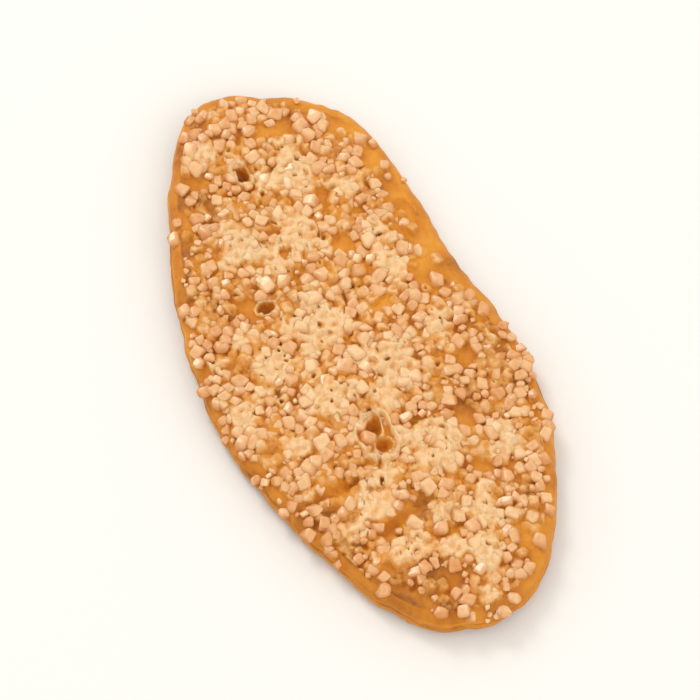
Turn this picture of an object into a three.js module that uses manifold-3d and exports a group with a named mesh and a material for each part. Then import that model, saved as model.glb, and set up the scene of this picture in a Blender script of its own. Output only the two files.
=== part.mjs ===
// Sugared puff pastry cookie: a thin oval of laminated dough, baked flat, with coarse sugar crystals
// set into its upper face. Millimetres, +Z up. X runs along the cookie and Y across it. The origin is
// under the middle, on the flat spot of the underside that the cookie rests on.
import * as THREE from "three";
import { mergeVertices } from "three/addons/utils/BufferGeometryUtils.js";
import Module from "manifold-3d";

// The outline: an ellipse whose radius swells and shrinks in lobes, each swelling most at some degrees.
const LENGTH = 88;
const WIDTH = 43;
const LOBES = [
  { count: 3, depth: 0.0236, at: 119 },
  { count: 4, depth: 0.0114, at: -126 },
  { count: 5, depth: 0.0247, at: -62 },
  { count: 6, depth: 0.017, at: 89 },
  { count: 7, depth: 0.0109, at: 175 },
];

// The section: flat under the middle, lifting towards the rim, and thinner at its rounded edge.
const MIDDLE_THICKNESS = 4.4;
const EDGE_THICKNESS = 3.2;
const EDGE_ROUND = 2.2; // how far in from the outline the rounding of the upper edge begins
const FOOT_ROUND = 0.6; // the same for the lower edge
const WAIST = 0.3; // share of the edge's thickness at which it reaches the outline
const FLAT_SHARE = 0.62; // share of the way out to the rim that lies flat
const EDGE_LIFT = 0.9;
const LIFT_SWING = 0.5; // share by which the lift varies round the rim
const LIFT_TURN = 57; // degrees, over which the lift swings round the rim

// The rim shows a seam between the dough's leaves, which wanders up and down along it.
const SEAM_LEVEL = 0.52; // share of the edge's thickness
const SEAM_DEPTH = 0.3;
const SEAM_WANDER = 0.1;

// The upper face rises and falls in low puffs, which are two trains of waves and die out at the rim.
const PUFF_HEIGHT = 0.45;
const PUFF_LENGTHS = [23, 13];
const PUFF_END = 0.8; // share of the way out where they begin to die out

// Hollows in the upper face, which are burst bubbles and creases: at some degrees round the oval and a
// share of the way out to the rim, with the length and width of the mouth and its turn in degrees.
const HOLLOWS = [
  { at: -25.6, out: 0.309, length: 2.8, width: 2.4, turn: 5, depth: 1 },
  { at: -20.1, out: 0.367, length: 2.2, width: 1.8, turn: 40, depth: 0.9 },
  { at: -170, out: 0.7, length: 2.8, width: 1.8, turn: 25, depth: 1 },
  { at: -121, out: 0.46, length: 2.6, width: 1.8, turn: 70, depth: 1 },
  { at: -23, out: 0.63, length: 8.6, width: 1.6, turn: 104, depth: 0.5 },
  { at: -52.5, out: 0.685, length: 7, width: 1.7, turn: 92, depth: 0.5 },
  { at: 117.6, out: 0.845, length: 3, width: 1.8, turn: 60, depth: 0.7 },
];
const HOLLOW_CLEARANCE = 1.3; // crystals keep this many times its size clear

// Sugar crystals: leaning blocks, set part of the way into the crust.
const CRYSTAL_PLACES = 346; // places tried, of which those on bare crust stay empty
const CRYSTAL_SIZE = [1.4, 2.2]; // across
const CRYSTAL_STRETCH = 0.3; // the longest is longer than it is wide by this share
const CRYSTAL_FLATNESS = [0.7, 0.95]; // height over width
const CRYSTAL_TAPER = 0.3; // share by which the top may be smaller than the foot
const CRYSTAL_LEAN = 0.15; // share of its width by which the top may stand off the foot's middle
const CRYSTAL_SUNK = 0.38; // share of its height below the crust
const CRYSTAL_TILT = 20; // degrees, at most

// Bare crust: a narrow rim, wider on some stretches that are centred and spread by degrees, and spots.
// A few crystals have strayed onto it.
const BARE_RIM = 0.2;
const BARE_STRETCHES = [
  { at: 30, spread: 20, width: 2.8 },
  { at: 124, spread: 27, width: 6.2 },
  { at: -172, spread: 10, width: 1.4 },
  { at: -135, spread: 16, width: 4 },
  { at: -97, spread: 10, width: 1.2 },
  { at: -71, spread: 9, width: 1.2 },
  { at: -29, spread: 14, width: 4.2 },
];
const STRAY_SHARE = 0.2;
const BARE_SPOTS = [
  { x: -34.5, y: 6.5, radius: 2 },
  { x: -22.3, y: 6.8, radius: 1.4 },
  { x: -14.3, y: 5.5, radius: 2.1 },
  { x: -3.2, y: 6.5, radius: 1.7 },
  { x: 16.3, y: 9.5, radius: 1.7 },
  { x: 24, y: 8.5, radius: 1.6 },
  { x: 35.2, y: 8.7, radius: 2.2 },
  { x: 36.5, y: -4.5, radius: 2.3 },
  { x: 22.5, y: -15.5, radius: 1.6 },
  { x: 6, y: -15, radius: 1.5 },
  { x: -11.6, y: -10.8, radius: 1.7 },
  { x: -32, y: -8.6, radius: 1.9 },
  { x: -6, y: 14.5, radius: 2.5 },
  { x: 8.5, y: 13.5, radius: 1.8 },
  { x: 14, y: -2.7, radius: 2.6 },
];

// How finely the pastry is divided.
const SECTORS = 44;
const HOLLOW_SIDES = 8;
const UNDER_SHARES = [0, FLAT_SHARE, 0.84];
const RIM_LEVELS = [0, WAIST, SEAM_LEVEL, 0.7, 0.94];
const TOP_SHARES = [1, 0.8, 0.55, 0.28, 0];

const CRUST_COLOUR = 0xd9953f;
const CRUST_ROUGHNESS = 0.55;

const wasm = await Module();
wasm.setup();

const { lerp, smoothstep, degToRad } = THREE.MathUtils;
const fraction = (value) => value - Math.floor(value);
const waveNumber = (length) => (2 * Math.PI) / length;

// The k-th of a repeatable list of draws between 0 and 1, with a list for each purpose.
const draw = (k, purpose) => fraction(Math.sin(k * 12.9898 + purpose * 78.233) * 43758.5453);

// The outline at angle t, on an ellipse of unit radii, before it is brought to its length and width.
function lobedEllipse(t) {
  const swell = ({ count, depth, at }) => depth * Math.cos(count * t - degToRad(at));
  const radius = LOBES.reduce((sum, lobe) => sum + swell(lobe), 1);
  return new THREE.Vector2(radius * Math.cos(t), radius * Math.sin(t));
}

const OUTLINE_STEPS = 720;
const outlineBox = new THREE.Box2().setFromPoints(
  Array.from({ length: OUTLINE_STEPS }, (_, i) => lobedEllipse((2 * Math.PI * i) / OUTLINE_STEPS)),
);
const outlineCentre = outlineBox.getCenter(new THREE.Vector2());
const outlineScale = new THREE.Vector2(LENGTH, WIDTH).divide(outlineBox.getSize(new THREE.Vector2()));

// The rim's outermost point at angle t.
const outline = (t) => lobedEllipse(t).sub(outlineCentre).multiply(outlineScale);

// The angle by which a share of the oval's area has been swept, going round from angle 0.
const sweptAreas = [0];
for (let i = 0; i < OUTLINE_STEPS; i++) {
  const [from, to] = [i, i + 1].map((step) => outline((2 * Math.PI * step) / OUTLINE_STEPS));
  sweptAreas.push(sweptAreas[i] + from.cross(to) / 2);
}
function angleOfSweep(share) {
  const area = share * sweptAreas[OUTLINE_STEPS];
  const step = sweptAreas.findIndex((swept) => swept > area);
  const part = (area - sweptAreas[step - 1]) / (sweptAreas[step] - sweptAreas[step - 1]);
  return (2 * Math.PI * (step - 1 + part)) / OUTLINE_STEPS;
}

// How high the underside is off the table, at a share of the way out to the rim at angle t.
function underside(share, t) {
  const swing = 1 + LIFT_SWING * Math.cos(2 * t - degToRad(LIFT_TURN));
  return EDGE_LIFT * swing * smoothstep(share, FLAT_SHARE, 1);
}

// The puffs' height at a point: waves along the cookie crossed with waves over it, and a slanting train.
function puffs({ x, y }) {
  const [long, short] = PUFF_LENGTHS.map(waveNumber);
  const crossed = Math.sin(long * x + 0.6) * Math.cos(long * y + 0.3);
  const slanting = Math.sin(short * (0.8 * x + 0.6 * y));
  return PUFF_HEIGHT * (0.6 * crossed + 0.4 * slanting);
}

// A quarter circle: how far over 1 it has come when it is a share of the way along.
const quarter = (share) => Math.sqrt(1 - (1 - THREE.MathUtils.clamp(share, 0, 1)) ** 2);

// The point of the upper face that is a share of the way out to the rim at angle t. Over the rounding of the
// edge it comes down to the waist.
function upperPlace(t, out) {
  const rim = outline(t);
  const point = rim.clone().multiplyScalar(out);
  const share = Math.min(1, point.length() / (rim.length() - EDGE_ROUND));
  const puff = puffs(point) * (1 - smoothstep(share, PUFF_END, 1));
  const rounding = lerp(WAIST, 1, quarter((rim.length() * (1 - out)) / EDGE_ROUND));
  const thickness = rounding * lerp(MIDDLE_THICKNESS, EDGE_THICKNESS, share * share);
  return new THREE.Vector3(point.x, point.y, underside(share, t) + thickness + puff);
}

// The point of the underside that is a share of the way out to the rim at angle t.
function lowerPlace(t, out) {
  const point = outline(t).multiplyScalar(out);
  return new THREE.Vector3(point.x, point.y, underside(out, t));
}

// The point of the rim at angle t and a level, which is a share of the edge's thickness.
function rimPlace(t, level) {
  const lower = FOOT_ROUND * (1 - quarter(level / WAIST));
  const upper = EDGE_ROUND * (1 - quarter((1 - level) / (1 - WAIST)));
  const seam = level === SEAM_LEVEL ? 1 : 0;
  const edge = outline(t);
  edge.setLength(edge.length() - (level < WAIST ? lower : upper) - seam * SEAM_DEPTH);
  const height = level + seam * SEAM_WANDER * Math.sin(5 * t + 1);
  return new THREE.Vector3(edge.x, edge.y, underside(1, t) + height * EDGE_THICKNESS);
}

// The section's rings, from the middle of the underside out round the rim and back over the top: where
// each passes angle t.
const RINGS = [
  ...UNDER_SHARES.map((share) => (t) => lowerPlace(t, share)),
  ...RIM_LEVELS.map((level) => (t) => rimPlace(t, level)),
  ...TOP_SHARES.map((share) => (t) => upperPlace(t, share * (1 - EDGE_ROUND / outline(t).length()))),
];

// A closed three.js geometry as a solid that can be joined to others.
function solidOf(geometry) {
  const bare = new THREE.BufferGeometry().setAttribute("position", geometry.getAttribute("position"));
  const merged = mergeVertices(bare.setIndex(geometry.getIndex()));
  return new wasm.Manifold(
    new wasm.Mesh({
      numProp: 3,
      vertProperties: merged.getAttribute("position").array,
      triVerts: new Uint32Array(merged.getIndex().array),
    }),
  );
}

// The pastry: a round biscuit turned on the lathe, whose rings are then carried out to the oval outline.
function pastry() {
  const isPole = (i) => i === 0 || i === RINGS.length - 1;
  const section = RINGS.map((_, i) => new THREE.Vector2(isPole(i) ? 0 : 1, i));
  const turned = new THREE.LatheGeometry(section, SECTORS);
  const position = turned.getAttribute("position");
  for (let i = 0; i < position.count; i++) {
    const t = (2 * Math.PI * (Math.floor(i / RINGS.length) % SECTORS)) / SECTORS;
    position.setXYZ(i, ...RINGS[i % RINGS.length](t));
  }
  return solidOf(turned);
}

// What a hollow takes out: a ball drawn to its length, width and depth, about a point of the upper face.
function hollow({ at, out, length, width, turn, depth }) {
  const ball = new THREE.SphereGeometry(1, HOLLOW_SIDES, HOLLOW_SIDES / 2);
  ball.rotateX(Math.PI / 2);
  ball.scale(length / 2, width / 2, depth);
  ball.rotateZ(degToRad(turn));
  ball.translate(...upperPlace(degToRad(at), out));
  return solidOf(ball);
}

// The width of the bare rim at angle t.
function bareRim(t) {
  const turnsFrom = (at) => fraction(t / (2 * Math.PI) - at / 360 + 0.5) - 0.5;
  const bump = ({ at, spread, width }) => width * Math.exp(-(((turnsFrom(at) * 360) / spread) ** 2));
  return BARE_STRETCHES.reduce((sum, stretch) => sum + bump(stretch), BARE_RIM);
}

// Whether a place on the upper face is over the mouth of a hollow, which crystals keep clear of.
function isOver(place, { at, out, length, width, turn }) {
  const offset = place.clone().sub(upperPlace(degToRad(at), out));
  offset.applyAxisAngle(new THREE.Vector3(0, 0, 1), -degToRad(turn));
  return Math.hypot(offset.x / length, offset.y / width) < HOLLOW_CLEARANCE / 2;
}

// The k-th of the places that a two-number spread puts evenly over the oval, or null where it stays bare.
function crystalPlace(k) {
  const out = Math.sqrt(fraction(0.5 + k * 0.7548776662));
  const t = angleOfSweep(fraction(0.5 + k * 0.569840291));
  const place = upperPlace(t, out);
  const fromEdge = outline(t).length() * (1 - out) - CRYSTAL_SIZE[0] / 2;
  const onSpot = BARE_SPOTS.some(({ x, y, radius }) => Math.hypot(place.x - x, place.y - y) < radius);
  const onBare = fromEdge < bareRim(t) || onSpot;
  const strays = fromEdge > 0 && draw(k, 11) < STRAY_SHARE;
  const inHollow = HOLLOWS.some((mouth) => isOver(place, mouth));
  return inHollow || (onBare && !strays) ? null : place;
}

// The k-th crystal: a block that narrows and leans towards its top, turned and tilted by its draws.
function crystal(k, place) {
  const width = lerp(...CRYSTAL_SIZE, draw(k, 1));
  const length = width * (1 + CRYSTAL_STRETCH * draw(k, 2) ** 2);
  const height = width * lerp(...CRYSTAL_FLATNESS, draw(k, 3));
  const taper = [4, 5].map((purpose) => 1 - CRYSTAL_TAPER * draw(k, purpose));
  const lean = [6, 7].map((purpose) => width * CRYSTAL_LEAN * (2 * draw(k, purpose) - 1));
  const tilt = [8, 9].map((purpose) => degToRad(CRYSTAL_TILT) * (2 * draw(k, purpose) - 1));
  const block = new THREE.BoxGeometry(length, width, height);
  const position = block.getAttribute("position");
  for (let i = 0; i < position.count; i++) {
    if (position.getZ(i) < 0) continue;
    position.setX(i, position.getX(i) * taper[0] + lean[0]);
    position.setY(i, position.getY(i) * taper[1] + lean[1]);
  }
  block.rotateX(tilt[0]);
  block.rotateY(tilt[1]);
  block.rotateZ(2 * Math.PI * draw(k, 10));
  block.translate(place.x, place.y, place.z + (0.5 - CRYSTAL_SUNK) * height);
  return solidOf(block);
}

// The largest piece of a solid. Scraps that come apart are dropped, and sealed hollows are filled.
function largestPiece(solid) {
  return solid.decompose().reduce((largest, piece) => (piece.volume() > largest.volume() ? piece : largest));
}

// A solid as a three.js geometry.
function geometryOf(solid) {
  const { vertProperties, triVerts } = solid.getMesh();
  const geometry = new THREE.BufferGeometry();
  geometry.setAttribute("position", new THREE.BufferAttribute(vertProperties, 3));
  geometry.setIndex(new THREE.BufferAttribute(triVerts, 1));
  geometry.computeVertexNormals();
  return geometry;
}

let body = HOLLOWS.reduce((rest, place) => rest.subtract(hollow(place)), pastry());
for (let k = 0; k < CRYSTAL_PLACES; k++) {
  const place = crystalPlace(k);
  if (place) body = body.add(crystal(k, place));
}

const cookie = new THREE.Mesh(
  geometryOf(largestPiece(body)),
  new THREE.MeshStandardMaterial({ color: CRUST_COLOUR, roughness: CRUST_ROUGHNESS, metalness: 0 }),
);
cookie.name = "cookie";

const part = new THREE.Group();
part.add(cookie);

export default part;
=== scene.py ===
# Sugared puff pastry cookie: the baked crust and the coarse sugar on it. Lengths are in millimetres until
# a mesh is made, X runs along the cookie, Y across it and Z up, and the origin is under its middle.
from collections import namedtuple

import bpy
import numpy as np
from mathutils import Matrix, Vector


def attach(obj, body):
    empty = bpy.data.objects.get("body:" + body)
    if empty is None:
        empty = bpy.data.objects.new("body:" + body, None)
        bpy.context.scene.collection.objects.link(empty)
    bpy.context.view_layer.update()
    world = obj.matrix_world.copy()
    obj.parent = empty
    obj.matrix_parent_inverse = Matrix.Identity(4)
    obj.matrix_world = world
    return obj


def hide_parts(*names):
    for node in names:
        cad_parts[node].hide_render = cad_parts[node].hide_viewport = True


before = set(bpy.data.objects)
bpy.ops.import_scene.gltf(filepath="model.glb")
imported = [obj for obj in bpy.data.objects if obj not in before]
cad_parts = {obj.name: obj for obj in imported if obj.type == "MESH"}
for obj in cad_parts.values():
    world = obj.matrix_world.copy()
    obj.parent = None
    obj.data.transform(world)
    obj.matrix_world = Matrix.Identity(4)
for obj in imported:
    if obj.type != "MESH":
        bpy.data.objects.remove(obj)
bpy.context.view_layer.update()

MM = 0.001

# The outline: an ellipse whose radius swells and shrinks in lobes (how many, how deep, degrees of the first).
LENGTH, WIDTH = 88, 43
LOBES = [(3, 0.0236, 119), (4, 0.0114, -126), (5, 0.0247, -62), (6, 0.017, 89), (7, 0.0109, 175)]

# The section: flat under the middle, lifting towards the rim, and thinner at its rounded edge.
MIDDLE_THICKNESS, EDGE_THICKNESS = 4.4, 3.2
EDGE_ROUND, FOOT_ROUND = 2.2, 0.6  # how far in the rim's rounding reaches, over and under its waist
WAIST = 0.3  # where the rim is widest, as a share of its thickness
FLAT_SHARE = 0.62  # how far out the underside lies flat, as a share of the way to the rim
EDGE_LIFT, LIFT_SWING, LIFT_TURN = 0.9, 0.5, 57  # the rim's lift, its swing as a share, the swing's degrees

# The seam between the dough's leaves: its level, width and wander are shares of the rim's thickness.
SEAM_LEVEL, SEAM_WIDTH, SEAM_WANDER = 0.52, 0.07, 0.1
SEAM_WAVES, SEAM_START = 5, 1
SEAM_DEPTH = 0.3

# Low puffs of the upper face: crossed waves and a slanting train, and where they start to fade to the rim.
PUFF_HEIGHT, PUFF_LENGTHS, PUFF_END = 0.45, (23, 13), 0.8
PUFF_STARTS, PUFF_SLANT, PUFF_SHARES = (0.6, 0.3), (0.8, 0.6), (0.6, 0.4)

# Hollows: degrees round the oval, share of the way out, length, width, turn in degrees, depth.
HOLLOWS = [
    (-25.6, 0.309, 2.8, 2.4, 5, 1.0),
    (-20.1, 0.367, 2.2, 1.8, 40, 0.9),
    (-170, 0.7, 2.8, 1.8, 25, 1.0),
    (-121, 0.46, 2.6, 1.8, 70, 1.0),
    (-23, 0.63, 8.6, 1.6, 104, 0.5),
    (-52.5, 0.685, 7.0, 1.7, 92, 0.5),
    (117.6, 0.845, 3.0, 1.8, 60, 0.7),
]

# Bare crust: a narrow rim, its wider stretches (degrees, spread, extra width), and spots (x, y, radius).
BARE_RIM = 0.2
BARE_STRETCHES = [
    (30, 20, 2.8), (124, 27, 6.2), (-172, 10, 1.4), (-135, 16, 4.0), (-97, 10, 1.2), (-71, 9, 1.2),
    (-29, 14, 4.2),
]
BARE_SPOTS = [
    (-34.5, 6.5, 2.0), (-22.3, 6.8, 1.4), (-14.3, 5.5, 2.1), (-3.2, 6.5, 1.7), (16.3, 9.5, 1.7),
    (24, 8.5, 1.6), (35.2, 8.7, 2.2), (36.5, -4.5, 2.3), (22.5, -15.5, 1.6), (6, -15, 1.5),
    (-11.6, -10.8, 1.7), (-32, -8.6, 1.9), (-6, 14.5, 2.5), (8.5, 13.5, 1.8), (14, -2.7, 2.6),
]

# The finer sugar reaches out over some stretches of the rim, which take from its bare width, and leaves some
# spots (x, y, radius) to the large crystals.
SUGARED_RIM = [(2, 13, -2.0), (-74, 30, -2.8), (75, 12, -1.0)]
OPEN_SPOTS = [(-34, 10, 1.5), (-35.5, 3, 1.4), (-31, 13.5, 1.6), (-26, 14, 1.4)]
LEAST_RIM = -0.4  # below nothing, so that grains hang over the edge there
RAGGED_EDGE = 0.8  # by how much its distance from the bare crust varies
LEAST_STAND, MORE_STAND = 0.05, 0.4  # how far its crystals are raised at least, and how much more at most
FUSED_NEARER = 0.15  # how much closer together it lies where the sugar has melted together

# Patches where the sugar has melted together most (x, y, radius).
FUSED_PATCHES = [
    (-28, 4, 4.0), (-35, -5, 2.6), (-20.5, -7, 3.6), (-18.5, 1.5, 3.4), (-15.5, -3.5, 2.4), (-5, -2, 4.0),
    (6, 3.5, 5.0), (6.5, -6.5, 3.6), (-2, -11, 3.4), (18.5, 3.5, 4.4), (22.5, -7.5, 2.8), (30, 6, 3.0),
    (36, 3, 2.6), (11, -14, 2.2), (-8.5, 10, 3.0), (3, -17.5, 2.4), (22, 13.5, 2.6), (2.5, 12.5, 2.5),
    (30.5, -5, 2.5), (-14, 11, 2.0), (-4.5, -3, 3.0), (42.5, 1, 2.2), (-5, -19.5, 1.8), (16, -19, 1.6),
    (33, 0, 1.8), (27.5, 0.5, 1.6), (19.5, -4.5, 1.7), (25, -12, 1.7), (-22, 10, 1.4), (-7, -14, 1.5),
]
FUSED_LEVELS = (0.2, 0.8)  # sums of the patches' bells between which it melts

# Clumps of sugar: the levels of their field between which they close, its offset, and what melting adds.
CLUMP_LEVELS, CLUMP_OFFSET, CLUMP_FUSED = (-0.3, 0.5), 0.95, 1.1

# Patches where crust and sugar are browner (x, y, radius, share): most caught in the oven, and the two
# towards the left end, at (-40, -6) and (-28, -12.5), are painted shade.
TOASTED_AND_SHADED_PATCHES = [
    (12, 15.5, 5, 0.6), (37.5, -7, 6, 1.45), (-28, -12.5, 5, 0.8), (16, 9, 3, 0.5), (-40, -6, 4, 0.8),
    (24, -14, 4, 0.7), (-12, -12, 3, 0.4),
]

# Sugar, in kinds: the number of the first place, how many are tried, widths, how near to others they may lie
# as a share of their widths, tilt in degrees, the share that has strayed onto bare crust, how strictly they
# keep to the clumps, and the shares that have half melted outside and inside the fused patches. The large
# crystals are the solid's, and the filling and the grit lie in the gaps between them.
KIND_FIELDS = "name first tries widths spacing tilt strays clumping melting"
Kind = namedtuple("Kind", KIND_FIELDS, defaults=(0, 0, 0, (0, 0)))
LARGE = Kind("sugar_crystals", 0, 346, (1.4, 2.2), 0, 20, 0.2)
FILLING = Kind("sugar_filling", 1000, 9000, (1.1, 1.9), 0.64, 30, 0.06, 1, (0.5, 0.85))
GRIT = Kind("sugar_grit", 12000, 3500, (0.6, 1.1), 0.8, 30, 0.03, 0.4)
UNDER_KINDS = [
    Kind("underside_sugar", 20000, 1500, (1.5, 2.3), 0.9),
    Kind("underside_grit", 24000, 2500, (0.7, 1.3), 0.9),
]
HOLLOW_CLEARANCE = 1.3  # how far out of a hollow the sugar starts, as a share of its mouth
NOWHERE = 1000.0  # a place so far off that it keeps no crystal away

# A crystal's shape, as shares of its width or height.
CRYSTAL_STRETCH, CRYSTAL_TAPER, CRYSTAL_LEAN, CRYSTAL_JOLT = 0.3, 0.3, 0.15, 0.25
CRYSTAL_FLATNESS, CRYSTAL_CUT = (0.7, 0.95), (0.3, 0.6)
CRYSTAL_SUNK = 0.38
CRYSTAL_SOFTNESS, CRYSTAL_GLOW = 0.2, 0.8  # how far its normals bend outwards and up

# How pale the crystals are on the upper face and on the underside, and what melting, toasting and painted
# shade change.
PALENESS, UNDER_PALENESS = (0.35, 0.77), (0.4, 0.9)
FUSED_PALER, TOASTED_AND_SHADED_BROWNER = 0.5, 0.25

# Lumps of the crust's frosting: their heights round a whole crystal and of a melted one, as shares of what
# stands out of the crust, how square they are, and the shares of their size between which they fall.
WHOLE_LUMP, MELTED_LUMP = 0.5, 1.1
LUMP_SQUARENESS, LUMP_EDGE = 3, (1.3, 0.6)

# Sugar pressed flat by the baking sheet: how far from the foot it ends at most, its gap to the table, and
# the share of its height that is left. The crust between stands back, but not near the foot.
PRESSED_RAGGED, PRESSED_GAP, PRESSED_SHARE = 1.5, 0.02, 0.45
STAND_BACK, STAND_BACK_FADE = 0.3, (0.8, 1)

# Random fields: how far they swing, the length of their waves, and a seed.
FIELDS = {
    "fused_edges": (0.2, 5, 12),
    "clumps": (0.6, 7, 51),
    "small_clumps": (0.8, 3.4, 52),
    "under_dents": (0.3, 3, 21),
    "rim_waves": (0.12, 7, 47),
    "rim_ripples": (0.05, 2.6, 48),
    "face_swells": (0.2, 6.5, 31),
    "face_ripples": (0.07, 2.2, 33),
    "sugar_bumps": (0.15, 1.5, 32),
    "pinholes": (1, 2.2, 44),
    "specks": (1, 1.8, 45),
    "lip_waver": (0.15, 3, 46),
    "ring_waver": (0.25, 4, 46),
    "under_mottle": (0.1, 11, 43),
    "rim_mottle": (0.08, 9, 41),
    "face_mottle": (0.15, 7, 42),
}
WAVE_COUNT, WAVE_LENGTHS = 16, (0.75, 1.33)

# What the draws are for. The first eleven are the solid's, in its order.
PURPOSES = [
    "width", "stretch", "flatness", "taper_x", "taper_y", "lean_x", "lean_y", "tilt_x", "tilt_y", "turn",
    "stray", "jolt_x", "jolt_y", "jolt_z", "cut", "lot", "lift", "scatter", "ragged", "melt",
]
DRAW_STEP, DRAW_JUMP, DRAW_SCALE = 12.9898, 78.233, 43758.5453
SPREAD_OUT, SPREAD_ROUND = 0.7548776662, 0.569840291  # steps of the two-number spread

# The upper face's relief. Fades are pairs of insets, levels or shares between which something comes or goes.
RIM_REACH, RIM_CALM, RIM_FADE = (0, 5), (0, 6), (-1, 0.4)
SPOT_FADE, PIT_FADE, PIT_DEPTHS = (0.7, 1.3), (0.3, 1.1), (0.3, 1.1)
PINHOLE_LEVELS, SPECK_LEVELS = (1.2, 1.8), (1.9, 2.4)
MASS_HEIGHTS, MASS_RISE = (0.4, 1.0), (0, 0.3)  # of sugar between lumps, outside and inside fused patches
PINHOLE_SHARE, SPECK_SHARE = 0.3, 0.9  # how much of the frosting they take
CALM_RIM, CALM_BARE = 0.7, 0.6  # how much flatter the face is near the rim, and where it is bare
HOLLOW_DEEPER, HOLLOW_BOWL = 1.1, 0.6
LIP_AT, LIP_WIDTH, LIP_FADE, LIP_HEIGHT, LIPPED_DEPTH = 1.25, 0.22, (0.8, 1), 0.6, 0.8
RING_MIDDLE, RING_SQUEEZE = (14, -2.7), 1.3  # a burst bubble's ring of frosting, narrower across than along
RING_RADIUS, RING_WIDTH, RING_HEIGHT = 3.3, 0.45, 0.7

# How brown the crust is, from 0 where it is palest to 1 where it caught, and what adds to it; some of what
# adds is painted shade.
UNDER_BROWN, RIM_BROWN, FACE_BROWN = 0.1, 0.3, 0.12
END_ANGLE, END_SPREAD, END_BROWN = -25, 17, 0.25
# Painted shade that darkens the rim and its shoulder along one long side.
SIDE_SHADE = 0.08
# The seam's brown is the dough's own; the foot's darkening is painted shade where the rim meets the table.
SEAM_BROWN, FOOT_SHADE, FOOT_FADE = 0.15, 0.5, (0, 0.35)
TOASTED_AND_SHADED_BROWN, PIT_BROWN = 0.5, 0.6
SHOULDER_BROWN, SHOULDER_FADE = 0.15, (2, 4)
# Under the sugar the crust is browner: partly caramel at the crystals' feet, partly painted shade between the
# grains.
SUGARED_BROWN_AND_SHADE, PINHOLE_BROWN, SPECK_BROWN = 0.24, 0.35, 0.45

# How frosted it is: on the underside, by the height of the frosting, less in the toasted and shaded patches,
# and on the lips.
UNDER_FROST, FROST_SHARES, FULL_FROSTING = 0.4, (0.8, 1.15), 1.2
TOASTED_AND_SHADED_FROST, LIP_FROST = 0.2, 0.8
SIDE_FADE = (0.6, 0.95)  # levels of the rim between which the leaves' edges fade

# How finely the outline is measured and the crust is divided.
OUTLINE_STEPS = 721
COLUMNS, UNDER_ROWS, RIM_ROWS, TOP_ROWS = 640, 12, 24, 115


def fraction(value):
    """What is left of a value over its whole part."""
    return value - np.floor(value)


def draw(k, purpose):
    """The k-th of a repeatable list of draws between 0 and 1, with a list for each purpose."""
    number = 1 + PURPOSES.index(purpose)
    return fraction(np.sin(k * DRAW_STEP + number * DRAW_JUMP) * DRAW_SCALE)


def draws(k, *purposes):
    """The k-th draws for several purposes, side by side."""
    return np.stack([draw(k, purpose) for purpose in purposes], -1)


def smooth(value, low, high):
    """A smooth step from 0 at low to 1 at high."""
    x = np.clip((value - low) / (high - low), 0, 1)
    return x * x * (3 - 2 * x)


def lerp(pair, share):
    """The value that is a share of the way from the first of a pair to the second."""
    return pair[0] + (pair[1] - pair[0]) * share


def swells(point, name):
    """A random field: plane waves in all directions, with lengths within a third of one length."""
    swing, length, seed = FIELDS[name]
    rng = np.random.default_rng(seed)
    turn, start = rng.uniform(0, 2 * np.pi, (2, WAVE_COUNT))
    number = 2 * np.pi / (length * rng.uniform(*WAVE_LENGTHS, WAVE_COUNT))
    along = point[..., :1] * np.cos(turn) + point[..., 1:2] * np.sin(turn)
    return swing * (np.sin(number * along + start).sum(-1) * np.sqrt(2 / WAVE_COUNT))


def bell(off):
    """A bell: 1 at no distance, falling with the square of it."""
    return np.exp(-(off**2))


def degrees_off(t, at):
    """How far an angle t is from one in degrees, the short way round."""
    return (np.degrees(t) - at + 180) % 360 - 180


def spots_off(point, x, y, radius):
    """How far out of each round spot a point is: 0 in its middle, 1 at its edge."""
    return np.hypot(point[..., :1] - x, point[..., 1:2] - y) / radius


def lobed_ellipse(t):
    """The outline at angle t on an ellipse of unit radii: the radius is 1 and a cosine for each lobe."""
    radius = 1 + sum(depth * np.cos(count * t - np.radians(at)) for count, depth, at in LOBES)
    return np.stack([radius * np.cos(t), radius * np.sin(t)], -1)


STEPS = np.linspace(0, 2 * np.pi, OUTLINE_STEPS)
UNIT_LOW, UNIT_HIGH = lobed_ellipse(STEPS).min(0), lobed_ellipse(STEPS).max(0)


def outline(t):
    """The rim's outermost point at angle t: the lobed ellipse brought to the cookie's length and width."""
    return (lobed_ellipse(t) - (UNIT_LOW + UNIT_HIGH) / 2) * (LENGTH, WIDTH) / (UNIT_HIGH - UNIT_LOW)


RIM_POINTS = outline(STEPS)
SWEPT_AREA = np.concatenate([[0], np.cumsum(np.cross(RIM_POINTS[:-1], RIM_POINTS[1:]) / 2)])


def underside(share, t):
    """Height off the table: nothing out to the flat share, then a smooth lift that swings round the rim."""
    return EDGE_LIFT * (1 + LIFT_SWING * np.cos(2 * t - np.radians(LIFT_TURN))) * smooth(share, FLAT_SHARE, 1)


def puffs(point):
    """Low puffs: waves along the cookie crossed with waves over it, and a slanting train."""
    x, y = point[..., 0], point[..., 1]
    long, short = (2 * np.pi / length for length in PUFF_LENGTHS)
    crossed = np.sin(long * x + PUFF_STARTS[0]) * np.cos(long * y + PUFF_STARTS[1])
    slanting = np.sin(short * (PUFF_SLANT[0] * x + PUFF_SLANT[1] * y))
    return PUFF_HEIGHT * (PUFF_SHARES[0] * crossed + PUFF_SHARES[1] * slanting)


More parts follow.
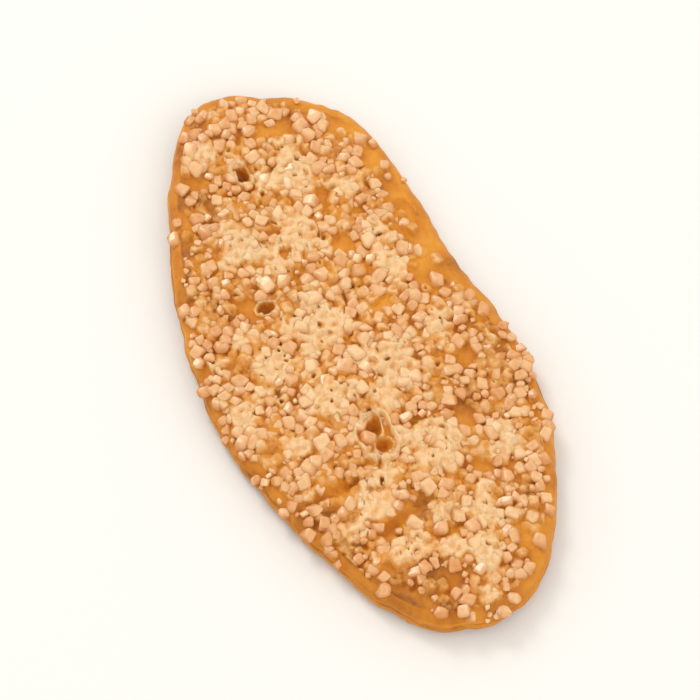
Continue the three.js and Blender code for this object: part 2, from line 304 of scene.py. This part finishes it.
def upper_face(t, out):
    """The point of the upper face that is a share of the way out to the rim at angle t, and its inset.

    The height is the underside's lift, the thickness, which falls with the square of the share, and the
    puffs. Over the rounding of the edge it is a quarter ellipse, from the face down to the waist.
    """
    rim = outline(t)
    reach = np.hypot(rim[..., 0], rim[..., 1])
    point = rim * np.asarray(out)[..., None]
    inset = reach * (1 - out)
    share = np.minimum(1, out * reach / (reach - EDGE_ROUND))
    rounding = np.sqrt(1 - np.clip(1 - inset / EDGE_ROUND, 0, 1) ** 2)
    thickness = lerp((WAIST, 1), rounding) * lerp((MIDDLE_THICKNESS, EDGE_THICKNESS), share**2)
    height = underside(share, t) + thickness + puffs(point) * (1 - smooth(share, PUFF_END, 1))
    return np.concatenate([point, height[..., None]], -1), inset


HOLLOW_AT, HOLLOW_OUT, HOLLOW_LENGTH, HOLLOW_WIDTH, HOLLOW_TURN, HOLLOW_DEPTH = np.array(HOLLOWS).T
HOLLOW_MIDDLES = upper_face(np.radians(HOLLOW_AT), HOLLOW_OUT)[0][:, :2]


def hollow_share(point):
    """How far out of each hollow a point is: 0 in its middle and 1 at its mouth, which is an ellipse."""
    x, y = np.moveaxis(point[..., None, :2] - HOLLOW_MIDDLES, -1, 0)
    c, s = np.cos(np.radians(HOLLOW_TURN)), np.sin(np.radians(HOLLOW_TURN))
    return np.hypot((x * c + y * s) / (HOLLOW_LENGTH / 2), (y * c - x * s) / (HOLLOW_WIDTH / 2))


def spot_share(point, spots):
    """How far out of the nearest spot a point is."""
    return spots_off(point, *np.array(spots).T).min(-1)


def bare_rim(t, stretches):
    """The width of the bare rim: a narrow one, and a bell for each stretch."""
    at, spread, width = np.array(stretches).T
    return BARE_RIM + (width * bell(degrees_off(t[..., None], at) / spread)).sum(-1)


def fused(point):
    """Where the sugar has melted into a frosting: a bell for each patch, with uneven edges."""
    patches = bell(spots_off(point, *np.array(FUSED_PATCHES).T)).sum(-1)
    return smooth(patches + swells(point, "fused_edges"), *FUSED_LEVELS)


def toasted_and_shaded(point):
    """Where crust and sugar are browner, most from toasting and two patches from painted shade: the highest
    of a bell for each patch.
    """
    x, y, radius, share = np.array(TOASTED_AND_SHADED_PATCHES).T
    return (share * bell(spots_off(point, x, y, radius))).max(-1)


def clumped(point):
    """Where the sugar lies in clumps, 1, and where the crust is open between them, 0."""
    uneven = swells(point, "clumps") + swells(point, "small_clumps")
    return smooth(uneven + CLUMP_OFFSET + CLUMP_FUSED * fused(point), *CLUMP_LEVELS)


def crystal_sizes(k, widths):
    """Lengths, widths and heights of crystals k: a width, stretched by up to a share, and flattened."""
    width = lerp(widths, draw(k, "width"))
    length = width * (1 + CRYSTAL_STRETCH * draw(k, "stretch") ** 2)
    return length, width, width * lerp(CRYSTAL_FLATNESS, draw(k, "flatness"))


def lumps_of(k, place, widths, share):
    """Lumps of half melted sugar, one for each crystal k: x, y, length, width, turn and height."""
    length, width, height = crystal_sizes(k, widths)
    stand = share * (1 - CRYSTAL_SUNK) * height
    return np.stack([place[:, 0], place[:, 1], length, width, 2 * np.pi * draw(k, "turn"), stand], -1)


def melted(point, lumps):
    """How high the half melted sugar stands: the highest of its lumps, each a block with a rounded edge."""
    level = np.zeros(point.shape[:-1])
    for x, y, length, width, turn, height in lumps:
        near = np.hypot(point[..., 0] - x, point[..., 1] - y) < length
        along, across = (point[near][:, :2] - (x, y)).T
        c, s = np.cos(turn), np.sin(turn)
        off = np.abs((along * c + across * s) / length) ** LUMP_SQUARENESS
        off += np.abs((across * c - along * s) / width) ** LUMP_SQUARENESS
        lump = height * smooth(2 * off ** (1 / LUMP_SQUARENESS), *LUMP_EDGE)
        level[near] = np.maximum(level[near], lump)
    return level


def sugar_places(k):
    """Places k of a two-number spread, even over the oval: points, insets, angles, shares of the way out."""
    out = np.sqrt(fraction(0.5 + k * SPREAD_OUT))
    t = np.interp(fraction(0.5 + k * SPREAD_ROUND) * SWEPT_AREA[-1], SWEPT_AREA, STEPS)
    return *upper_face(t, out), t, out


def on_sugar(k, place, from_edge, rim, spots, stray_share):
    """Whether each place has sugar: it is off the hollows, and off the bare crust unless it has strayed."""
    off_hollows = (hollow_share(place) > HOLLOW_CLEARANCE).all(-1)
    off_bare = (from_edge > rim) & (spot_share(place, spots) > 1)
    return off_hollows & (off_bare | (from_edge > 0) & (draw(k, "stray") < stray_share))


def with_room(places, widths, spacing, taken):
    """Which places, tried in turn, keep their crystals' distance from all those that are taken before."""
    kept = []
    for i, (spot, width, share) in enumerate(zip(places[:, :2], widths, spacing)):
        gaps = np.hypot(*(taken[:, :2] - spot).T)
        if (gaps > share * (width + taken[:, 2]) / 2).all():
            taken = np.vstack([taken, (*spot, width)])
            kept.append(i)
    return np.array(kept), taken


# A crystal is a block with its edges and corners cut off: four points on each of its six sides and one in
# the middle of each. Signs say on which side of the block's middle a point lies along X, Y and Z.
SIDES = [(axis, sign) for axis in range(3) for sign in (-1, 1)]
SIDE_CORNERS = ((-1, -1), (1, -1), (1, 1), (-1, 1))
BLOCK_SIGNS = np.array(
    [np.roll((sign, p, q), axis) for axis, sign in SIDES for p, q in SIDE_CORNERS]
    + [np.roll((sign, 0, 0), axis) for axis, sign in SIDES],
    float,
)
BLOCK_SIDE = np.concatenate([np.repeat(np.arange(6), 4), np.arange(6)])
BLOCK_ON_SIDE = (BLOCK_SIDE // 2)[:, None] == np.arange(3)
BLOCK_CORNER = (BLOCK_SIGNS > 0) @ (1, 2, 4)
BLOCK_EDGE = (BLOCK_SIGNS != 0).all(-1).astype(float)
BLOCK_COUNT = len(BLOCK_SIGNS)
CORNER_POINTS = 4 * len(SIDES)
TRIAL_CUT = 0.6  # how far out the cuts of the block lie on which faces are turned outwards


def block_faces():
    """Faces of the cut block as quads and triangles, all turned outwards: sides, edges and corners."""
    rings = np.arange(CORNER_POINTS).reshape(-1, 4).tolist()
    triangles = [
        [CORNER_POINTS + side, ring[c], ring[(c + 1) % 4]]
        for side, ring in enumerate(rings)
        for c in range(4)
    ]
    triangles += [[i for i in range(CORNER_POINTS) if BLOCK_CORNER[i] == corner] for corner in range(8)]
    quads = []
    for a in range(6):
        for b in range(a + 1, 6):
            met = [(i, j) for i in rings[a] for j in rings[b] if BLOCK_CORNER[i] == BLOCK_CORNER[j]]
            if met:
                (i, j), (k, l) = met
                quads.append([i, j, l, k])
    points = BLOCK_SIGNS * np.where(BLOCK_ON_SIDE, 1, TRIAL_CUT)

    def outward(face):
        a, b, c = points[face[:3]]
        return face if np.dot(np.cross(b - a, c - a), points[face].mean(0)) > 0 else face[::-1]

    return np.array([outward(face) for face in quads]), np.array([outward(face) for face in triangles])


BLOCK_FACES = block_faces()


def turned(points, angle, axis):
    """Points turned by an angle about one axis."""
    a, b = (axis + 1) % 3, (axis + 2) % 3
    c, s = np.cos(angle)[:, None], np.sin(angle)[:, None]
    result = points.copy()
    result[..., a] = points[..., a] * c - points[..., b] * s
    result[..., b] = points[..., a] * s + points[..., b] * c
    return result


def unit(vectors):
    """Vectors brought to length 1."""
    return vectors / np.linalg.norm(vectors, axis=-1, keepdims=True)


def soft_normals(points):
    """The directions that cut blocks face at their points: their sides', bent outwards at the corners and up.

    The bend evens out the light on a block's sides, as the light that passes through a half clear one does.
    """
    corners = points[:, :CORNER_POINTS].reshape(-1, 6, 4, 3)
    side = np.cross(corners[:, :, 2] - corners[:, :, 0], corners[:, :, 3] - corners[:, :, 1])
    side = unit(side * np.array([sign for _, sign in SIDES])[:, None])
    bend = unit(points - points.mean(1, keepdims=True))
    return unit(side[:, BLOCK_SIDE] + CRYSTAL_SOFTNESS * bend + (0, 0, CRYSTAL_GLOW))


def crystals(k, place, widths, tilt):
    """Cut blocks, one for each k, as an array of points for each, and the points' levels over the foot.

    Each is as wide as its draw says, longer by up to the stretch, narrows and leans towards its top, has
    its corners knocked about, is tilted and turned, and is sunk into its place by a share of its height.
    """
    length, width, height = crystal_sizes(k, widths)
    edges = np.stack([length, width, height], -1)[:, None, :]
    cut = lerp(CRYSTAL_CUT, draw(k, "cut")) * width
    points = BLOCK_SIGNS * np.where(BLOCK_ON_SIDE, 1, 1 - cut[:, None, None] / edges) * edges / 2
    level = points[..., 2] / height[:, None] + 0.5
    taper = 1 - CRYSTAL_TAPER * draws(k, "taper_x", "taper_y")[:, None, :] * level[..., None]
    lean = CRYSTAL_LEAN * (2 * draws(k, "lean_x", "lean_y") - 1) * width[:, None]
    points[..., :2] = points[..., :2] * taper + lean[:, None, :] * level[..., None]
    jolt = draws(k[:, None] * 8 + BLOCK_CORNER, "jolt_x", "jolt_y", "jolt_z") - 0.5
    points += CRYSTAL_JOLT * width[:, None, None] * jolt * BLOCK_EDGE[:, None]
    about_x, about_y = np.radians(tilt) * (2 * draws(k, "tilt_x", "tilt_y").T - 1)
    points = turned(turned(points, about_x, 0), about_y, 1)
    points = turned(points, 2 * np.pi * draw(k, "turn"), 2) + place[:, None, :]
    points[..., 2] += ((0.5 - CRYSTAL_SUNK) * height)[:, None]
    return points, level


def make_piece(name, points, faces, values, material, normals=None):
    """A mesh piece from points in millimetres, face index arrays, and named values and normals of points."""
    mesh = bpy.data.meshes.new(name)
    mesh.vertices.add(len(points))
    mesh.vertices.foreach_set("co", (points * MM).ravel())
    sizes = np.concatenate([np.full(len(part), part.shape[1]) for part in faces])
    corners = np.concatenate([part.ravel() for part in faces])
    mesh.loops.add(len(corners))
    mesh.loops.foreach_set("vertex_index", corners)
    mesh.polygons.add(len(sizes))
    mesh.polygons.foreach_set("loop_start", np.cumsum(sizes) - sizes)
    mesh.polygons.foreach_set("use_smooth", np.full(len(sizes), True))
    for label, value in values.items():
        attribute = mesh.attributes.new(label, "FLOAT", "POINT")
        attribute.data.foreach_set("value", np.clip(value, 0, 1).astype(np.float32).ravel())
    mesh.update(calc_edges=True)
    if normals is not None:
        mesh.normals_split_custom_set_from_vertices(normals)
    mesh.materials.append(material)
    piece = bpy.data.objects.new(name, mesh)
    bpy.context.scene.collection.objects.link(piece)
    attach(piece, "root")
    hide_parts("cookie")


def linear(colour):
    """An sRGB hex colour as linear red, green, blue and full alpha."""
    channels = np.array([int(colour[i : i + 2], 16) for i in (1, 3, 5)]) / 255
    channels = np.where(channels <= 0.04045, channels / 12.92, ((channels + 0.055) / 1.055) ** 2.4)
    return (*channels.tolist(), 1)


def add(tree, kind, inputs=(), **settings):
    """Adds a node with its settings, each input set to a value or linked from an output; gives its output."""
    node = tree.nodes.new("ShaderNode" + kind)
    for name, value in settings.items():
        setattr(node, name, value)
    for name, value in dict(inputs).items():
        if isinstance(value, bpy.types.NodeSocket):
            tree.links.new(value, node.inputs[name])
        else:
            node.inputs[name].default_value = linear(value) if isinstance(value, str) else value
    shown = [socket for socket in node.outputs if socket.enabled]
    return shown[0] if shown else node


MIX_A, MIX_B = 6, 7  # the colour sockets of a Mix node


def value_of(tree, name):
    """A named value of the mesh's points."""
    return add(tree, "Attribute", attribute_name=name).node.outputs["Fac"]


def noise(tree, spot, size, detail):
    """Cloudy noise whose clouds are so many millimetres across."""
    return add(tree, "TexNoise", {"Vector": spot, "Scale": 1 / (size * MM), "Detail": detail})


def span(tree, value, given, wanted=(0.0, 1.0)):
    """A value brought from one range to another, and held within it."""
    ends = {"From Min": given[0], "From Max": given[1], "To Min": wanted[0], "To Max": wanted[1]}
    return add(tree, "MapRange", {"Value": value, **ends})


def join(tree, operation, first, second, **settings):
    """Two values added or multiplied."""
    return add(tree, "Math", {0: first, 1: second}, operation=operation, **settings)


def blend(tree, share, first, second):
    """A colour that is a share of the way from one to another."""
    return add(tree, "Mix", {0: share, MIX_A: first, MIX_B: second}, data_type="RGBA")


def bump(tree, height, strength, depth, below=None, invert=False):
    """Normals of a low relief of some depth in millimetres, over another's where one is given."""
    inputs = {"Height": height, "Strength": strength, "Distance": depth * MM}
    if below is not None:
        inputs["Normal"] = below
    return add(tree, "Bump", inputs, invert=invert)


def new_material(name, inputs):
    """A node material whose shader has some inputs set: the material, its node tree and the shader node."""
    material = bpy.data.materials.new(name)
    material.use_nodes = True
    tree = material.node_tree
    tree.nodes.clear()
    shader = add(tree, "BsdfPrincipled", inputs)
    add(tree, "OutputMaterial", {"Surface": shader})
    return material, tree, shader.node


def link_all(tree, shader, outputs):
    """Links outputs to the shader's inputs of those names."""
    for name, output in outputs.items():
        tree.links.new(output, shader.inputs[name])


def new_crust_material():
    """Baked puff pastry crust: dough leaves browned in the oven under butter and melted sugar.

    Golden where it is bare, brown where it caught and where shade is painted, pale where sugar has melted
    over it, with a satin gloss.
    The leaves' edges show as fine wavering lines along the rim.
    """
    mottle_size, speckle_size, grain_size = 3.2, 0.9, 1.0
    leaf_length, leaf_thickness = 14, 0.7
    material, tree, shader = new_material("baked_puff_pastry_crust", {
        "IOR": 1.5,
        "Specular IOR Level": 0.25,
        "Subsurface Radius": (1.0, 1.0, 1.0),
        "Subsurface Scale": 0.4 * MM,
    })
    spot = add(tree, "TexCoord").node.outputs["Object"]
    browned_and_shaded, frosted, side = (value_of(tree, name) for name in ("browned_and_shaded", "frosted", "side"))
    speckle = noise(tree, spot, speckle_size, 4.0)

    # Golden to brown, in patches and along the leaves, with pale flecks. The brown value holds painted shade
    # as well as browning.
    patch = span(tree, noise(tree, spot, mottle_size, 3.0), (0.3, 0.7), (-0.25, 0.25))
    stretch = [1 / (size * MM) for size in (leaf_length, leaf_length, leaf_thickness)]
    layers = add(tree, "Mapping", {"Vector": spot, "Scale": stretch})
    leaves = add(tree, "TexNoise", {"Vector": layers, "Scale": 1.0, "Detail": 2.0})
    leaf = join(tree, "MULTIPLY", span(tree, leaves, (0.35, 0.65), (-0.3, 0.3)), side)
    toast_and_shade = join(tree, "ADD", join(tree, "ADD", browned_and_shaded, leaf), patch, use_clamp=True)
    colour = blend(tree, span(tree, toast_and_shade, (0.0, 0.5)), "#E6982A", "#CF7C1C")
    colour = blend(tree, span(tree, toast_and_shade, (0.5, 1.0)), colour, "#985210")
    colour = blend(tree, span(tree, speckle, (0.35, 0.7), (0.0, 0.25)), colour, "#EAA33E")

    # Melted sugar over it: a thin syrup first, and cream where it is thick.
    frost = join(tree, "ADD", frosted, span(tree, speckle, (0.3, 0.7), (-0.2, 0.2)))
    colour = blend(tree, span(tree, frost, (0.2, 0.65)), colour, "#E9A95E")
    colour = blend(tree, span(tree, frost, (0.55, 1.0)), colour, "#F8CE99")

    # The leaves' edges, a fine crumb, and grains in the melted sugar.
    grains = add(tree, "TexVoronoi", {"Vector": spot, "Scale": 1 / (grain_size * MM), "Randomness": 1.0})
    relief = bump(tree, leaf, 0.8, 0.4, invert=True)
    relief = bump(tree, speckle, 0.8, 0.35, relief)
    relief = bump(tree, join(tree, "MULTIPLY", grains, frosted), 0.7, 0.5, relief, invert=True)
    link_all(tree, shader, {
        "Base Color": colour,
        "Roughness": span(tree, frost, (0.0, 1.0), (0.45, 0.2)),
        "Normal": relief,
        "Subsurface Weight": span(tree, frost, (0.0, 1.0), (0.15, 0.6)),
    })
    return material


def new_sugar_material():
    """Coarse sugar crystals, grown and sieved, then baked on.

    Half clear, and each is a little different. Their colour has painted light in it: the crust's orange on
    their sides and feet, standing for light passed through them and for shade, with some syrup stain, and
    paler edges, standing for light scattered there as well as for their frosting.
    """
    cloud_size = 1.3
    material, tree, shader = new_material("baked_on_coarse_sugar_crystals", {
        "Roughness": 0.2,
        "IOR": 1.56,
        "Subsurface Weight": 0.5,
        "Subsurface Radius": (1.0, 1.0, 1.0),
        "Subsurface Scale": 0.3 * MM,
    })
    spot = add(tree, "TexCoord").node.outputs["Object"]
    lot, edge, level = (value_of(tree, name) for name in ("lot", "edge", "level"))
    cloud = noise(tree, spot, cloud_size, 3.0)
    # Paler edges: painted light scattered at the edges, as well as their frosting.
    frost = join(tree, "ADD", lot, span(tree, edge, (0.2, 1.0), (0.0, 0.1)))
    frost = join(tree, "ADD", frost, span(tree, cloud, (0.3, 0.7), (-0.2, 0.2)))
    colour = blend(tree, span(tree, frost, (0.0, 0.5)), "#DB8C3C", "#EAAE72")
    colour = blend(tree, span(tree, frost, (0.5, 1.0)), colour, "#F8CC95")
    # Orange towards the foot: painted shade on the sides, and the crust's colour painted in as light passed
    # through the crystal, with some syrup stain.
    colour = blend(tree, span(tree, level, (0.4, 1.0), (0.85, 0.0)), colour, "#D2812B")
    link_all(tree, shader, {"Base Color": colour, "Normal": bump(tree, cloud, 0.5, 0.2)})
    return material


def sugar_piece(name, points, level, lots, material):
    """One piece of many crystals, with each crystal's lot, and each point's edge share and level."""
    count = len(points)
    first = BLOCK_COUNT * np.arange(count)[:, None, None]
    faces = [(first + part).reshape(-1, part.shape[1]) for part in BLOCK_FACES]
    values = {"lot": np.repeat(lots, BLOCK_COUNT), "edge": np.tile(BLOCK_EDGE, count), "level": level}
    normals = soft_normals(points).reshape(-1, 3)
    make_piece(name, points.reshape(-1, 3), faces, values, material, normals)


def make_upper_sugar(material):
    """The sugar on the upper face: the large crystals, and a filling and a grit in the gaps that are left.

    Most of the filling has half melted. It is given back as lumps for the crust, with a low lump round
    each crystal that is whole. A crystal's lot, its paleness, is a draw, paler where the sugar has melted
    together, and browner where it has caught and in the two patches of painted shade.
    """
    taken = np.full((1, 3), NOWHERE)
    lumps = []
    for kind in (LARGE, FILLING, GRIT):
        finer = kind is not LARGE
        k = np.arange(kind.first, kind.first + kind.tries, dtype=float)
        place, inset, t, _ = sugar_places(k)
        rim = np.maximum(bare_rim(t, BARE_STRETCHES + finer * SUGARED_RIM), LEAST_RIM)
        spots = BARE_SPOTS + finer * OPEN_SPOTS
        from_edge = inset - kind.widths[0] / 2 - finer * RAGGED_EDGE * draw(k, "ragged")
        kept = on_sugar(k, place, from_edge, rim, spots, kind.strays)
        kept &= draw(k, "scatter") >= kind.clumping * (1 - clumped(place))
        k, place = k[kept], place[kept]
        spacing = kind.spacing * (1 - FUSED_NEARER * fused(place))
        kept, taken = with_room(place, lerp(kind.widths, draw(k, "width")), spacing, taken)
        k, place = k[kept], place[kept]
        whole = draw(k, "melt") >= lerp(kind.melting, fused(place))
        lumps.append(lumps_of(k, place, kind.widths, np.where(whole, WHOLE_LUMP, MELTED_LUMP)))
        k, place = k[whole], place[whole]
        place[:, 2] += finer * (LEAST_STAND + MORE_STAND * draw(k, "lift") ** 2)
        # Browner in the toasted patches, two of which are painted shade.
        lots = lerp(PALENESS, draw(k, "lot")) + FUSED_PALER * fused(place) - TOASTED_AND_SHADED_BROWNER * toasted_and_shaded(place)
        sugar_piece(kind.name, *crystals(k, place, kind.widths, kind.tilt), lots, material)
    return np.concatenate(lumps)


def make_underside_sugar(material):
    """The sugar on the underside, pressed flat by the baking sheet; its levels count down to the table."""
    taken = np.full((1, 3), NOWHERE)
    for kind in UNDER_KINDS:
        k = np.arange(kind.first, kind.first + kind.tries, dtype=float)
        place, inset, t, out = sugar_places(k)
        place[:, 2] = underside(out, t)
        kept = inset > FOOT_ROUND + kind.widths[0] / 2 + PRESSED_RAGGED * draw(k, "scatter")
        k, place = k[kept], place[kept]
        spacing = np.full(len(k), kind.spacing)
        kept, taken = with_room(place, lerp(kind.widths, draw(k, "width")), spacing, taken)
        k, place = k[kept], place[kept]
        points, level = crystals(k, place, kind.widths, kind.tilt)
        over_foot = points[..., 2] - points[..., 2].min(1, keepdims=True)
        points[..., 2] = place[:, None, 2] + PRESSED_GAP + PRESSED_SHARE * over_foot
        sugar_piece(kind.name, points, 1 - level, lerp(UNDER_PALENESS, draw(k, "lot")), material)


def crust_rows():
    """The crust as three sheets of closed rows: the underside, the rim and the upper face.

    Each row is a loop of the outline, brought in by a share or an inset. The rim is two quarter ellipses
    that meet at the waist, with a seam that wanders up and down between the dough's leaves.
    """
    t = np.linspace(0, 2 * np.pi, COLUMNS, endpoint=False)
    rim = outline(t)
    reach = np.hypot(rim[:, 0], rim[:, 1])

    share = np.linspace(0, 1, UNDER_ROWS, endpoint=False)[:, None]
    low = rim * (share * (1 - FOOT_ROUND / reach))[..., None]
    dents = STAND_BACK * (1 - smooth(share, *STAND_BACK_FADE)) * np.maximum(0, 1 + swells(low, "under_dents"))
    low = np.concatenate([low, (underside(share, t) + dents)[..., None]], -1)

    turn = np.radians(np.linspace(-90, 90, RIM_ROWS, endpoint=False))[:, None]
    lower = turn < 0
    level = np.where(lower, WAIST * (1 + np.sin(turn)), WAIST + (1 - WAIST) * np.sin(turn)) + 0 * t
    inset = np.where(lower, FOOT_ROUND, EDGE_ROUND) * (1 - np.cos(turn))
    seam_level = SEAM_LEVEL + SEAM_WANDER * np.sin(SEAM_WAVES * t + SEAM_START)
    seam = bell((level - seam_level) / SEAM_WIDTH)
    edge = rim * (1 - (inset + SEAM_DEPTH * seam) / reach)[..., None]
    edge = np.concatenate([edge, (underside(1, t) + EDGE_THICKNESS * level)[..., None]], -1)

    out = np.linspace(1, 0, TOP_ROWS)[:, None] * (1 - EDGE_ROUND / reach)
    top, inset = upper_face(t + 0 * out, out)
    uneven = unit(rim) * (swells(rim, "rim_waves") + swells(rim, "rim_ripples"))[:, None]
    edge[..., :2] += uneven
    top[..., :2] += uneven * (1 - smooth(inset, *RIM_REACH))[..., None]
    return t, low, edge, level, seam, top, inset


def shaded_side(t):
    """How much darker the rim is along one long side, as painted shade: most there, and not at all along the
    other.
    """
    return SIDE_SHADE - SIDE_SHADE * np.sin(t)


def upper_relief(t, top, inset, lumps):
    """How high the upper face's relief stands, how brown it is there, and how frosted.

    The relief is low swells, the frosting, the hollows, which are dug as bowls, lips round the deep ones,
    and the ring of a burst bubble. The frosting is the lumps and, in the clumps, a mass that joins them,
    with pinholes and specks. The face is brownest in the hollows, where it caught, under the sugar and at
    the shoulder of the rim. Part of that brown is painted shade: between the grains under the sugar, along
    one long side of the shoulder, and in two patches towards the left end.
    """
    open_crust = 1 - smooth(spot_share(top, BARE_SPOTS + OPEN_SPOTS), *SPOT_FADE)
    rim = bare_rim(t, BARE_STRETCHES + SUGARED_RIM)
    bare = np.clip(smooth(rim - inset, *RIM_FADE) + open_crust, 0, 1)
    hollow_off = hollow_share(top)
    pit = ((1 - smooth(hollow_off, *PIT_FADE)) * smooth(HOLLOW_DEPTH, *PIT_DEPTHS)).max(-1)

    massed = clumped(top) * (1 - bare)
    pinholes = smooth(swells(top, "pinholes"), *PINHOLE_LEVELS)
    specks = smooth(swells(top, "specks"), *SPECK_LEVELS) * massed
    frosting = melted(top, lumps)
    mass = lerp(MASS_HEIGHTS, fused(top)) * massed * smooth(frosting, *MASS_RISE)
    frosting = np.maximum(frosting, mass) * (1 - pit) * (1 + swells(top, "sugar_bumps"))
    frosting *= (1 - PINHOLE_SHARE * pinholes) * (1 - SPECK_SHARE * specks)

    waver = swells(top, "lip_waver")[..., None]
    lips = bell((hollow_off - LIP_AT - waver) / LIP_WIDTH) * (HOLLOW_DEPTH > LIPPED_DEPTH)
    lips = lips.max(-1) * smooth(hollow_off.min(-1), *LIP_FADE)
    ring_off = np.hypot(top[..., 0] - RING_MIDDLE[0], RING_SQUEEZE * (top[..., 1] - RING_MIDDLE[1]))
    ring = bell((ring_off + swells(top, "ring_waver") - RING_RADIUS) / RING_WIDTH)

    near_rim = 1 - smooth(inset, *RIM_CALM)
    height = swells(top, "face_swells") * (1 - CALM_RIM * near_rim)
    height += swells(top, "face_ripples") * (1 - CALM_BARE * bare)
    height += frosting + LIP_HEIGHT * lips + RING_HEIGHT * ring
    height -= (HOLLOW_DEEPER * HOLLOW_DEPTH * np.clip(1 - hollow_off**2, 0, 1) ** HOLLOW_BOWL).sum(-1)

    # The toasted patches add brown and take frost away; two of them are painted shade.
    brown_and_shade = FACE_BROWN + TOASTED_AND_SHADED_BROWN * toasted_and_shaded(top) + swells(top, "face_mottle") + PIT_BROWN * pit
    # The shoulder is browner, and along one long side it also has painted shade.
    brown_and_shade += (SHOULDER_BROWN + shaded_side(t)) * (1 - smooth(inset, *SHOULDER_FADE))
    # Under the sugar: caramel, and painted shade between the grains.
    brown_and_shade += (SUGARED_BROWN_AND_SHADE + PINHOLE_BROWN * pinholes + SPECK_BROWN * specks) * (1 - bare)
    frost = lerp(FROST_SHARES, fused(top)) - TOASTED_AND_SHADED_FROST * toasted_and_shaded(top)
    frost = frost * frosting / FULL_FROSTING + LIP_FROST * np.maximum(lips, ring)
    return height, brown_and_shade, frost


def closed_faces(row_count):
    """Faces of closed rows, whose first and last are single points: quads between the rows, and two fans.

    It gives the numbers of the points that are used, and the faces as places in that list.
    """
    index = np.arange(row_count * COLUMNS).reshape(-1, COLUMNS)
    index[0], index[-1] = index[0, 0], index[-1, 0]
    ahead = np.roll(index, -1, axis=1)
    quads = np.stack([index[1:-2], ahead[1:-2], ahead[2:-1], index[2:-1]], -1).reshape(-1, 4)
    low_fan = np.stack([index[0], ahead[1], index[1]], -1)
    top_fan = np.stack([index[-1], index[-2], ahead[-2]], -1)
    corners = np.concatenate([quads.ravel(), low_fan.ravel(), top_fan.ravel()])
    used, faces = np.unique(corners, return_inverse=True)
    return used, [faces[: quads.size].reshape(-1, 4), faces[quads.size :].reshape(-1, 3)]


def make_pastry(lumps, material):
    """The crust with its relief. Its rim is brownest at one end and at its seam, with painted shade along one
    side and at its foot.
    """
    t, low, edge, level, seam, top, inset = crust_rows()
    height, top_brown_and_shade, frost_top = upper_relief(t, top, inset, lumps)
    top[..., 2] += height
    brown_low = UNDER_BROWN + swells(low, "under_mottle")
    end = bell(degrees_off(t, END_ANGLE) / END_SPREAD)
    # Along one long side the rim has painted shade.
    edge_brown_and_shade = RIM_BROWN + END_BROWN * end + shaded_side(t) + swells(edge, "rim_mottle")
    # The foot darkens with painted shade where the rim meets the table; the seam's brown is its own.
    edge_brown_and_shade += SEAM_BROWN * seam + FOOT_SHADE * (1 - smooth(level, *FOOT_FADE))
    values = {
        "browned_and_shaded": (brown_low, edge_brown_and_shade, top_brown_and_shade),
        "frosted": (UNDER_FROST + 0 * brown_low, 0 * edge_brown_and_shade, frost_top),
        "side": (0 * brown_low, 1 - smooth(level, *SIDE_FADE), 0 * top_brown_and_shade),
    }
    rows = np.concatenate([low, edge, top])
    used, faces = closed_faces(len(rows))
    values = {label: np.concatenate(parts).ravel()[used] for label, parts in values.items()}
    make_piece("pastry", rows.reshape(-1, 3)[used], faces, values, material)


sugar_material = new_sugar_material()
melted_lumps = make_upper_sugar(sugar_material)
make_underside_sugar(sugar_material)
make_pastry(melted_lumps, new_crust_material())

# A matte white table top, painted and dull, so that it gives back soft light and shows the cookie's shadow.
FLOOR_HALF = 2  # metres
floor_material, _, _ = new_material("matte_white_table_top", {"Base Color": "#F7F4EC", "Roughness": 0.8})
floor_mesh = bpy.data.meshes.new("table_top")
floor_corners = [(FLOOR_HALF * x, FLOOR_HALF * y, 0) for x, y in SIDE_CORNERS]
floor_mesh.from_pydata(floor_corners, [], [(0, 1, 2, 3)])
floor_mesh.materials.append(floor_material)
floor = bpy.data.objects.new("table_top", floor_mesh)
bpy.context.scene.collection.objects.link(floor)

# The camera looks down steeply on the cookie's middle. Lamps' sizes and places are in metres.
AZIMUTH, ELEVATION = np.radians((64, 66))
LENS, SENSOR, FRAME_HEIGHT = 150, 36, 97
CLIP_START, CLIP_END = 0.01, 10
LOOKED_AT = 2.5  # height of the point in the middle of the picture
right = Vector((np.cos(AZIMUTH), np.sin(AZIMUTH), 0))
away = Vector((-np.sin(AZIMUTH), np.cos(AZIMUTH), 0))
up = Vector((0, 0, 1))
to_camera = up * np.sin(ELEVATION) - away * np.cos(ELEVATION)
camera = bpy.data.objects.new("camera", bpy.data.cameras.new("camera"))
camera.data.lens, camera.data.sensor_width = LENS, SENSOR
camera.data.clip_start, camera.data.clip_end = CLIP_START, CLIP_END
camera.location = up * LOOKED_AT * MM + to_camera * (FRAME_HEIGHT * MM * LENS / SENSOR)
bpy.context.scene.camera = camera
sights = [(camera, to_camera)]

# Soft light: a lamp behind on the left, a larger one in front on the right, and a pale room.
LAMPS = [
    ("back_lamp", 0.25, 1.6, away * 0.45 - right * 0.3 + up * 0.6),
    ("front_lamp", 0.6, 1.0, right * 0.5 - away * 0.4 + up * 0.5),
]
ROOM_COLOUR, ROOM_STRENGTH = "#FFFFFF", 0.85
for name, size, energy, place in LAMPS:
    lamp = bpy.data.objects.new(name, bpy.data.lights.new(name, "AREA"))
    lamp.data.size, lamp.data.energy = size, energy
    lamp.location = place
    sights.append((lamp, place))
for thing, sight in sights:
    thing.rotation_mode = "QUATERNION"
    thing.rotation_quaternion = sight.to_track_quat("Z", "Y")
    bpy.context.scene.collection.objects.link(thing)

world = bpy.data.worlds.new("pale_room")
bpy.context.scene.world = world
world.use_nodes = True
world.node_tree.nodes["Background"].inputs["Color"].default_value = linear(ROOM_COLOUR)
world.node_tree.nodes["Background"].inputs["Strength"].default_value = ROOM_STRENGTH
bpy.context.scene.view_settings.view_transform = "Standard"
